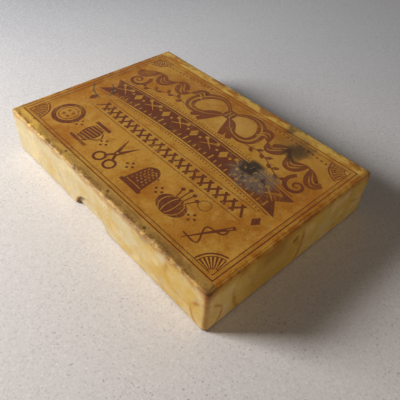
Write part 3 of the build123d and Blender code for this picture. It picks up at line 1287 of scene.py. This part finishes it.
@dataclass
class Ink:
    """Flat ornament in one colour, made of strips that lie on the label.

    Attributes:
        height: Height of the label's face.
        lift: How far the ink stands over it.
        middle: Point of the label that the next figures are drawn about.
        zoom: How much larger than given they are drawn.
        step: Largest step of a quad across the label.
        thickness: Of the print.
        pile: Its surfaces.
    """

    height: Height
    lift: float
    middle: Point = (0.0, 0.0)
    zoom: float = 1.0
    step: float = 0.6
    thickness: float = 0.006
    pile: Pile = field(default_factory=Pile)

    def move(self, x: float, y: float, zoom: float = 1.0) -> None:
        """Draw the next figures about another point, and larger or smaller."""
        self.middle, self.zoom = (x, y), zoom

    def on_label(self, plan: Array) -> Array:
        """Places on the label of the points of a figure."""
        spots = np.array(self.middle) + self.zoom * plan
        return raised(spots, self.height(spots[..., 0], spots[..., 1]) + self.lift)

    def lay(self, grid: Array) -> None:
        """Put a grid of plan points on the label, with its quads facing up.

        Args:
            grid: Points of the figure, row by row.
        """
        face, quads = self.on_label(grid), grid_faces(*grid.shape[:2])
        corners = face.reshape(-1, 3)[quads]
        one, other = corners[:, 2] - corners[:, 0], corners[:, 3] - corners[:, 1]
        area = one[:, 0] * other[:, 1] - one[:, 1] * other[:, 0]
        self.pile.add(face, np.where(area[:, None] < 0, quads[:, ::-1], quads))

    def strip(self, left: Array, right: Array) -> None:
        """Fill the space between two lines: left (1 - v) + right v, in steps along the label.

        Args:
            left: Points of one line.
            right: As many points of the other.
        """
        widest = np.linalg.norm(left - right, axis=-1).max() * self.zoom
        share = np.linspace(0, 1, math.ceil(widest / self.step) + 1)[:, None, None]
        self.lay(left[None] * (1 - share) + right[None] * share)

    def body(self, half: Array, level: Array) -> None:
        """Fill a figure that reaches half to the left and half to the right at each level."""
        self.strip(points(-half, level), points(half, level))

    def stroke(self, path: Array, width: float | Array, closed: bool = False) -> None:
        """Draw a line with a width, w / 2 to each side of the path.

        Args:
            path: Points of its middle.
            width: The same all along, or one for each point.
            closed: Whether the path ends where it starts.
        """
        along = np.gradient(path, axis=0)
        if closed:
            along[0] = along[-1] = path[1] - path[-2]
        side = points(-along[:, 1], along[:, 0])
        side = side / np.maximum(np.linalg.norm(side, axis=-1, keepdims=True), 1e-9)
        half = np.broadcast_to(np.asarray(width) / 2, len(path))[:, None]
        self.strip(path + side * half, path - side * half)

    def straight(self, start: Point, end: Point, width: float, tip: float | None = None) -> None:
        """Draw a straight line.

        Args:
            start: Its first point.
            end: Its last point.
            width: At the start.
            tip: Width at the end, if it is another.
        """
        share = np.linspace(0, 1, max(2, round(math.dist(start, end) / self.step)))
        path = np.array(start) + share[:, None] * (np.array(end) - np.array(start))
        self.stroke(path, width if tip is None else width + share * (tip - width))

    def arc(self, centre: Point, radius: float, start: float, end: float, width: float) -> None:
        """Draw part of a circle: centre + radius (cos a, sin a).

        Args:
            centre: Its middle.
            radius: Of the middle of the line.
            start: Angle where it starts, in degrees.
            end: Angle where it ends.
            width: Of the line.
        """
        sweep = abs(end - start)
        angle = np.radians(np.linspace(start, end, max(8, round(sweep / 8))))
        self.stroke(np.array(centre) + radius * circle(angle), width, closed=sweep >= 360)

    def disc(self, centre: Point, radius: float) -> None:
        """Fill a circle."""
        rim = np.array(centre) + radius * circle(np.linspace(0, 2 * math.pi, 15))
        self.strip(rim, np.tile(np.array(centre, float), (len(rim), 1)))

    def dots(self, places: Sequence[Point] | Array, radius: float) -> None:
        """Fill a small circle at each place, all at once.

        Args:
            places: Their middles.
            radius: Of each.
        """
        rim = radius * circle(np.linspace(0, 2 * math.pi, 9)[:-1])
        spots = self.on_label((np.array(places)[:, None] + rim[None]).reshape(-1, 2))
        first = np.arange(len(places))[:, None] * len(rim)
        fan = np.array([(0, 1, 2, 3), (0, 3, 4, 5), (0, 5, 6, 7)])
        self.pile.add(spots, (first[:, None] + fan[None]).reshape(-1, 4))

    def lozenge(self, centre: Point, half_length: float, half_height: float) -> None:
        """Fill a lozenge.

        Args:
            centre: Its middle.
            half_length: Half of it along x.
            half_height: Half of it along y.
        """
        side = np.linspace(0, 1, 7)[:, None] * np.array([half_length, half_height])
        left, low = np.array(centre) - (half_length, 0), np.array(centre) - (0, half_height)
        self.strip(left + side, low + side)

    def frame(self, low: Point, high: Point, width: float) -> None:
        """Rule a line round a rectangle.

        Args:
            low: Its near left corner.
            high: Its far right corner.
            width: Of the line.
        """
        (left, near), (right, far) = low, high
        for y in (near, far):
            self.straight((left - width / 2, y), (right + width / 2, y), width)
        for x in (left, right):
            self.straight((x, near), (x, far), width)

    def piece(self, name: str, material: Material) -> None:
        """Make the ink a piece with the thickness of a print.

        Args:
            name: Of the piece.
            material: Its finish.
        """
        made = self.pile.piece(name, "lid", closed=False)
        thick = made.modifiers.new("thickness", "SOLIDIFY")
        thick.thickness, thick.offset = self.thickness * MM, -1.0
        dress(made, material)


@dataclass
class LabelPrint:
    """Design of the label: rules, a bow with twisted tails, a dark band, stitches and notions.

    Attributes:
        dark: Its dark ink.
        pale: Lights left plain within the dark.
        low: Near left corner of the outer rule.
        high: Far right corner of the outer rule.
        rule_gap: From the outer rule to the inner one.
        bow_row: Middle of the bow and its tails along y.
        bow_half: Half length of the bow.
        band_half: Half length of the dark band.
        band_rise: Height of its middle along y.
        band_width: Its width in the middle.
        band_arch: How much it drops towards its ends, as a share of x * x.
        stitch_row: Middle of the row of stitches along y.
        notion_row: Middle of the bottom row along y.
        notion_step: From one notion to the next.
        notion_zoom: How much larger than their sketches the notions are.
    """

    dark: Ink
    pale: Ink
    low: Point = (-52.8, -35.2)
    high: Point = (53.0, 34.1)
    rule_gap: float = 1.5
    bow_row: float = 24.6
    bow_half: float = 17.0
    band_half: float = 48.0
    band_rise: float = 4.6
    band_width: float = 10.5
    band_arch: float = 0.0016
    stitch_row: float = -9.8
    notion_row: float = -23.8
    notion_step: float = 15.8
    notion_zoom: float = 1.22

    def rules(self) -> None:
        """Two rules round the label, and a fan in each corner of the inner one."""
        left, near = (edge + self.rule_gap for edge in self.low)
        right, far = (edge - self.rule_gap for edge in self.high)
        self.dark.frame(self.low, self.high, 0.42)
        self.dark.frame((left, near), (right, far), 0.3)
        for quarter, corner in enumerate(((left, near), (right, near), (right, far), (left, far))):
            turn = 90.0 * quarter
            for radius, width in ((2.2, 0.3), (6.6, 0.3), (7.6, 0.6)):
                self.dark.arc(corner, radius, turn, turn + 90, width)
            for way in circle(np.radians(turn + np.linspace(9, 81, 7))):
                self.dark.straight(corner + 2.2 * way, corner + 6.4 * way, 0.22, 0.7)

    def bow(self) -> None:
        """Bow in the middle, its two ends, and twisted tails to both sides.

        The loops are a lemniscate, x = a cos t / (1 + sin^2 t) and y = b cos t sin t /
        (1 + sin^2 t), bent down as x * x.
        """
        t = np.linspace(0, 2 * math.pi, 181)
        turn = 1 + np.sin(t) ** 2
        x = self.bow_half * np.cos(t) / turn
        loop = points(x, self.bow_row + 19.5 * np.cos(t) * np.sin(t) / turn - 0.012 * x**2)
        reach = np.abs(x) / self.bow_half
        self.dark.stroke(loop, 1.2 + 3.0 * reach**1.2, closed=True)
        self.pale.stroke(loop, 0.15 + 0.8 * reach**2, closed=True)
        knot = np.linspace(-2.9, 2.9, 9)
        self.dark.body(2.6 - 0.10 * knot**2, self.bow_row + knot)
        for x in (-0.9, 0.9):
            self.pale.straight((x, 22.6), (x * 0.8, 26.6), 0.4)
        run = np.linspace(0, 1, 18)
        for way in (-1, 1):
            self.tail(way)
            for fall, sweep in ((17.6 / 2.1, 5.6), (16.9 / 2.1, 9.4)):
                end = points(way * (1.0 + sweep * run), 22.4 - fall * run + 1.8 * np.sin(run * 4))
                self.dark.stroke(end, 0.8 + 2.4 * np.sin(run * math.pi * 0.8))

    def tail(self, way: int) -> None:
        """Twisted tail of the bow, with a row of beads over it, a scroll and a leafy stem.

        It swells as |cos| of its run, and its middle sways as a sine. The scroll's radius
        falls as exp(-0.2 a).

        Args:
            way: 1 to the right, and -1 to the left.
        """
        run = np.linspace(0, 1, 150)
        x = 15.5 + 33.5 * run
        path = points(way * x, self.bow_row - 0.0022 * x**2 + 2.4 * np.sin(run * 3 * 2 * math.pi))
        swell = 0.6 + 6.4 * np.abs(np.cos(run * 3.5 * math.pi - 0.4)) ** 1.1 * (1 - 0.3 * run)
        self.dark.stroke(path, swell)
        for lift in (-0.9, 0.9):
            self.pale.stroke(path + np.array([0, lift]), np.maximum(0.28 * (swell - 3.4), 0.03))
        beads = np.linspace(18, 47, 15)
        self.dark.dots(points(way * beads, 32.0 - 0.0012 * beads**2), 0.5)
        angle = np.linspace(0, 3.3 * math.pi, 70)
        scroll = (5.4 * np.exp(-0.2 * angle))[:, None] * (circle(angle + 2.2) * (way, 1))
        self.dark.stroke(np.array([way * 43.4, 12.6]) + scroll, np.linspace(1.8, 0.4, len(angle)))
        run = np.linspace(0, 1, 40)
        stem = points(way * (17.0 + 20.0 * run), 15.6 - 3.6 * run**2 + 1.2 * np.sin(run * 5))
        self.dark.stroke(stem, 0.45)
        for number, foot in enumerate(stem[4::5]):
            reach = np.array([way * 2.2, 2.0 if number % 2 else -2.0])
            leaf = foot + np.linspace(0, 1, 9)[:, None] * reach
            self.dark.stroke(leaf, 0.2 + 1.5 * np.sin(np.linspace(0, math.pi, 9)))

    def band_line(self, x: Array | float, share: float, grow: float = 0.0) -> Array:
        """Line along the band, at y = rise + (share - 1/2) (width + grow) - arch x x."""
        off = (share - 0.5) * (self.band_width + grow)
        return points(x, self.band_rise + off - self.band_arch * x**2)

    def band(self) -> None:
        """Dark arched band with forked ends, marked with ticks, pins and lozenges.

        A place along it is u (half - fork |u|^6), and across it the fork is 4.5 (1 - |2 v - 1|).
        """
        dark, pale = self.dark, self.pale
        across = np.linspace(0, 1, 15)[:, None]
        fork = 4.5 * (1 - np.abs(2 * across - 1))
        u = np.linspace(-1, 1, 170)[None]
        x = u * (self.band_half - fork * np.abs(u) ** 6)
        dark.lay(self.band_line(x, 0.0) + points(0.0, across * self.band_width))
        line = np.linspace(-self.band_half + 2, self.band_half - 2, 150)
        for share in (0.0, 1.0):
            dark.stroke(self.band_line(line, share, 1.9), 0.32)
        for share in (1.0, 0.0):
            dark.dots(self.band_line(np.linspace(-43, 43, 58), share, 3.8), 0.3)
        pale.stroke(self.band_line(line[6:-6], 0.91), 0.3)
        for number, x in enumerate(np.arange(-42, 42.1, 2.8)):
            share, width = (0.15, 0.5) if number % 5 else (0.26, 0.7)
            pale.straight(self.band_line(x, 0.0) + (0, 0.6), self.band_line(x, share) + (0, 0.6), width)
        for number, x in enumerate(np.arange(-40, 40.1, 8)):
            middle = self.band_line(x, 0.6)
            if number % 2:
                pale.lozenge(middle, 1.7, 2.5)
                pale.dots([middle - (3.3, 0), middle + (3.3, 0)], 0.6)
            else:
                self.crossed_pins(*middle)

    def crossed_pins(self, x: float, y: float) -> None:
        """Two pins laid across each other.

        Args:
            x: Where they cross, along the band.
            y: Where they cross, across it.
        """
        for way in (-1, 1):
            self.pale.straight((x + way * 2.6, y + 1.9), (x - way * 2.8, y - 2.0), 0.75, 0.3)
            self.pale.disc((x + way * 2.7, y + 2.0), 0.9)

    def stitches(self) -> None:
        """Herringbone stitches between two fine rules."""
        y = self.stitch_row
        for x in np.arange(-38, 36.1, 3.7):
            self.dark.straight((x, y - 2.4), (x + 3.5, y + 2.4), 0.95)
            self.dark.straight((x + 1.9, y + 2.4), (x + 5.4, y - 2.4), 0.95)
        for x in (-43.5, 45.6):
            self.dark.lozenge((x, y), 1.6, 2.4)
        for far in (-3.6, 3.6):
            self.dark.straight((-40, y + far), (42, y + far), 0.25)

    def notions(self) -> None:
        """Bottom row of the label, with a cross of dots between neighbours."""
        makers = (self.button, self.reel, self.scissors, self.thimble, self.cushion, self.needle)
        for place, maker in enumerate(makers, 1):
            x = (place - (len(makers) + 1) / 2) * self.notion_step
            for layer in (self.dark, self.pale):
                layer.move(x, self.notion_row, self.notion_zoom)
            maker()
            if place < len(makers):
                self.dark.move(x + self.notion_step / 2, self.notion_row)
                self.dark.dots([(0, 1.4), (0, -1.4), (1.4, 0), (-1.4, 0)], 0.55)

    def button(self) -> None:
        """Button with four holes."""
        self.dark.arc((0, 0), 4.6, 0, 360, 1.5)
        self.dark.arc((0, 0), 3.1, 0, 360, 0.3)
        self.dark.dots([(x, y) for x in (-1.05, 1.05) for y in (-1.05, 1.05)], 0.6)

    def reel(self) -> None:
        """Reel of thread: two rims, a body waisted as a cosine, turns of thread and a loose end."""
        for level, half in ((4.3, 3.6), (-4.9, 4.0)):
            self.dark.straight((-half, level), (half, level), 1.1)
        turns = np.linspace(-3.9, 3.3, 12)
        self.dark.body(2.5 + 0.5 * np.cos(turns * 0.7), turns)
        for level in np.linspace(-3.1, 2.6, 6):
            self.pale.straight((-2.5, level), (2.5, level + 0.4), 0.3)
        run = np.linspace(0, 1, 24)
        self.dark.stroke(points(2.9 + 1.6 * np.sin(run * 5), 2.2 - 6.5 * run), 0.4)

    def scissors(self) -> None:
        """Open scissors."""
        for way in (-1, 1):
            self.dark.arc((way * 2.4, -4.2), 1.75, 0, 360, 0.8)
            self.dark.straight((way * 1.7, -2.8), (-way * 0.2, 0.3), 0.9)
            self.dark.straight((-way * 0.1, -0.2), (-way * 2.6, 6.4), 1.5, 0.2)
        self.pale.disc((0, 0.4), 0.4)

    def thimble(self) -> None:
        """Thimble: its side narrows and closes as a dome, sqrt(1 - 0.96 s s), with rows of dimples."""
        rise = np.linspace(0, 1, 16)
        dome = np.sqrt(1 - np.clip((rise - 0.72) / 0.28, 0, 1) ** 2 * 0.96)
        self.dark.body((3.6 - 1.0 * rise) * dome, 9.2 * rise - 4.2)
        self.dark.straight((-4.2, -4.8), (4.2, -4.8), 1.2)
        rows, columns = np.meshgrid(np.arange(5), np.arange(-2, 3))
        places = points(columns * (1.15 - rows * 0.07), rows * 1.3 - 2.2 + (columns % 2) * 0.5)
        self.pale.dots(places.reshape(-1, 2), 0.28)
        self.pale.straight((-3.0, -3.6), (3.0, -3.6), 0.3)

    def cushion(self) -> None:
        """Pin cushion: an ellipse with seams that bulge, and pins stuck in its top."""
        turn = np.linspace(-1, 1, 25)
        high = 3.4 * np.sqrt(1 - turn**2)
        self.dark.strip(points(4.9 * turn, -1.2 - high), points(4.9 * turn, high - 1.2))
        rise = np.linspace(-1, 1, 12)
        for bend in (-3.4, -1.2, 1.2, 3.4):
            self.pale.stroke(points(bend * np.sqrt(1 - 0.8 * rise**2), 3.1 * rise - 1.2), 0.28)
        for lean, reach in ((-2.6, 5.2), (-0.7, 6.4), (1.3, 5.9), (3.2, 4.9)):
            self.dark.straight((lean * 0.6, 1.6), (lean, reach), 0.4)
            self.dark.disc((lean, reach), 0.65)

    def needle(self) -> None:
        """Threaded needle: the thread winds round it as a sine."""
        self.dark.straight((3.4, 6.0), (-3.4, -6.2), 1.3, 0.2)
        self.pale.straight((3.0, 5.3), (2.3, 4.0), 0.4)
        run = np.linspace(0, 1, 60)
        sway = 2.7 * np.sin(run * 3.2 * math.pi) * (0.4 + 0.6 * run)
        path = points(2.7 - 5.6 * run, 4.6 - 10.0 * run)
        self.dark.stroke(path + sway[:, None] * np.array([0.87, -0.49]), 0.5)

    def build(self) -> None:
        """Draw the whole design and make its two pieces."""
        for part in (self.rules, self.bow, self.band, self.stitches, self.notions):
            part()
        self.dark.piece("label_print", LabelPaint("label_ink").ink())
        self.pale.piece("label_print_lights", LabelPaint("label_lights").lights())


# Table, light and camera


@dataclass(frozen=True)
class Lamp:
    """Square light that faces the box.

    Attributes:
        name: Of the light.
        place: Its middle, in millimetres.
        size: Its side, in millimetres.
        power: In watts.
        tone: Its colour.
    """

    name: str
    place: Spot
    size: float
    power: float
    tone: Spot

    def hang(self) -> None:
        """Hang it at its place and turn it to the box."""
        data = bpy.data.lights.new(self.name, "AREA")
        data.shape, data.size = "SQUARE", self.size * MM
        data.energy, data.color = self.power, self.tone
        light = bpy.data.objects.new(self.name, data)
        light.location = Vector(self.place) * MM
        light.rotation_euler = (-light.location).to_track_quat("-Z", "Y").to_euler()
        bpy.context.scene.collection.objects.link(light)


@dataclass
class Studio:
    """Pale table, a large soft light low on the left, a weak warm one, and the camera.

    Attributes:
        eye: Place of the camera, in millimetres.
        target: Point that it looks at.
        roll: Its turn about its own axis, in degrees.
        lens: Focal length in millimetres.
        sensor: Width of the picture in the camera.
        clip: Nearest and farthest that it sees, in metres.
        lamps: The large light on the left and the weak one on the right.
        air: Colour of the light from all around.
        air_strength: Its strength.
        table: Half of the table's side.
        table_gap: How far the table lies under the box.
    """

    eye: Spot = (100.68, -90.02, 121.57)
    target: Spot = (27.804, -16.746, 19.0)
    roll: float = 3.996
    lens: float = 41.14
    sensor: float = 36.0
    clip: Point = (0.01, 20.0)
    lamps: tuple[Lamp, ...] = (
        Lamp("window", (-290.0, -312.0, 218.0), 165.0, 2.86, (0.985, 0.985, 1.0)),
        Lamp("lamp", (400.0, -250.0, 70.0), 140.0, 0.4, (1.0, 0.86, 0.7)),
    )
    air: Colour = (1.0, 0.88, 0.76, 1.0)
    air_strength: float = 0.07
    table: float = 2500.0
    table_gap: float = 0.02

    def build_table(self) -> None:
        """Lay the table just under the box."""
        corners = [(-1, -1), (1, -1), (1, 1), (-1, 1)]
        spots = [(x * self.table * MM, y * self.table * MM, -self.table_gap * MM) for x, y in corners]
        mesh = bpy.data.meshes.new("table_top")
        mesh.from_pydata(spots, [], [(0, 1, 2, 3)])
        top = bpy.data.objects.new("table_top", mesh)
        bpy.context.scene.collection.objects.link(top)
        mesh.materials.append(TableTop().paint())

    def build_light(self) -> None:
        """Hang the lights, in warm air that the camera sees as the pale backdrop."""
        for lamp in self.lamps:
            lamp.hang()
        world = bpy.data.worlds.new("room")
        world.use_nodes = True
        tree = world.node_tree
        air, wall = tree.nodes["Background"], tree.nodes.new("ShaderNodeBackground")
        glows = ((air, self.air, self.air_strength), (wall, TableTop().backdrop, 1.0))
        for node, tone, strength in glows:
            node.inputs["Color"].default_value, node.inputs["Strength"].default_value = tone, strength
        pick = tree.nodes.new("ShaderNodeMixShader")
        tree.links.new(seen_rays(tree), pick.inputs["Fac"])
        tree.links.new(air.outputs["Background"], pick.inputs[1])
        tree.links.new(wall.outputs["Background"], pick.inputs[2])
        tree.links.new(pick.outputs["Shader"], tree.nodes["World Output"].inputs["Surface"])
        bpy.context.scene.world = world
        bpy.context.scene.view_settings.view_transform = "Standard"

    def build_camera(self) -> None:
        """Stand the camera where the photograph was taken."""
        data = bpy.data.cameras.new("camera")
        data.lens, data.sensor_width = self.lens, self.sensor
        data.clip_start, data.clip_end = self.clip
        camera = bpy.data.objects.new("camera", data)
        look = Vector(self.target) - Vector(self.eye)
        roll = Matrix.Rotation(math.radians(self.roll), 3, "Z")
        turn = look.to_track_quat("-Z", "Y").to_matrix() @ roll
        camera.matrix_world = Matrix.Translation(Vector(self.eye) * MM) @ turn.to_4x4()
        bpy.context.scene.collection.objects.link(camera)
        bpy.context.scene.camera = camera


# The box


class Stuff(Enum):
    """Finishes of the pieces that keep the shape of the frame."""

    BOARD = Plain("board", srgb(150, 112, 66), srgb(92, 60, 32), 5.0, 0.5, 0.85, 0.2)
    STAY = Plain("stay_paper", srgb(196, 166, 118), srgb(160, 126, 80), 7.0, 0.4, 0.8)
    LINING = Plain("lining_paper", srgb(214, 196, 160), srgb(182, 156, 112), 12.0, 0.4, 0.8)
    BASE = Plain("base_paper", srgb(206, 178, 128), srgb(164, 126, 76), 9.0, 0.5, 0.7)
    METAL = Plain("pin_metal", srgb(208, 202, 190), srgb(150, 138, 112), 3.0, 0.3, 0.3, 0.01, True)


@dataclass
class PinBox:
    """The whole box: two cover papers, the label with its print, and what the frame brings.

    Attributes:
        lid: Cover paper of the lid.
        tray: Cover paper of the tray, whose closed face is below.
        label: Sheet on the lid.
        lifts: How far the dark ink and its lights stand over the label.
        kept: Words in the names of the nodes that keep their shape, with their stuff.
    """

    lid: CoverPaper = field(default_factory=lambda: CoverPaper(
        "lid_wrap", "lid", Round(55.88, 39.38, 1.25, Notch()),
        closed_face=18.88, open_edge=0.4, turn_in=7.4, stay_end=17.58, seed=3, darkening=0.5,
    ))
    tray: CoverPaper = field(default_factory=lambda: CoverPaper(
        "tray_wrap", "tray", Round(54.46, 37.96, 1.25),
        closed_face=0.15, open_edge=17.88, turn_in=11.88, stay_end=1.45, seed=9, darkening=0.35,
    ))
    label: LabelSheet = field(default_factory=LabelSheet)
    lifts: Point = (0.008, 0.015)
    kept: tuple[tuple[str, Stuff], ...] = (
        ("board", Stuff.BOARD), ("corner_stay", Stuff.STAY), ("lining", Stuff.LINING),
        ("base_paper", Stuff.BASE), ("pins", Stuff.METAL),
    )

    def dress_kept(self, nodes: list[str]) -> None:
        """Finish the nodes that keep their shape.

        Args:
            nodes: Names of all nodes of the frame.
        """
        for word, stuff in self.kept:
            material = stuff.value.paint()
            for name in nodes:
                if word in name:
                    dress(bpy.data.objects[name], material)

    def build(self, nodes: list[str]) -> None:
        """Make every piece of the box.

        Args:
            nodes: Names of all nodes of the frame.
        """
        for paper, slot in ((self.lid, "lid_cover_paper"), (self.tray, "tray_cover_paper")):
            paper.build(CoverPaint(slot).cover(paper), slot)
        self.label.build(LabelPaint("label_paper").sheet())
        LabelPrint(*(Ink(self.label.height, lift) for lift in self.lifts)).build()
        self.dress_kept(nodes)


def main() -> None:
    """Load the frame, and build the box and its surroundings."""
    logging.basicConfig(level=logging.INFO, format="%(message)s")
    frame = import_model()
    PinBox().build(list(frame["nodes"]))
    studio = Studio()
    studio.build_table()
    studio.build_light()
    studio.build_camera()


if __name__ == "__main__":
    main()
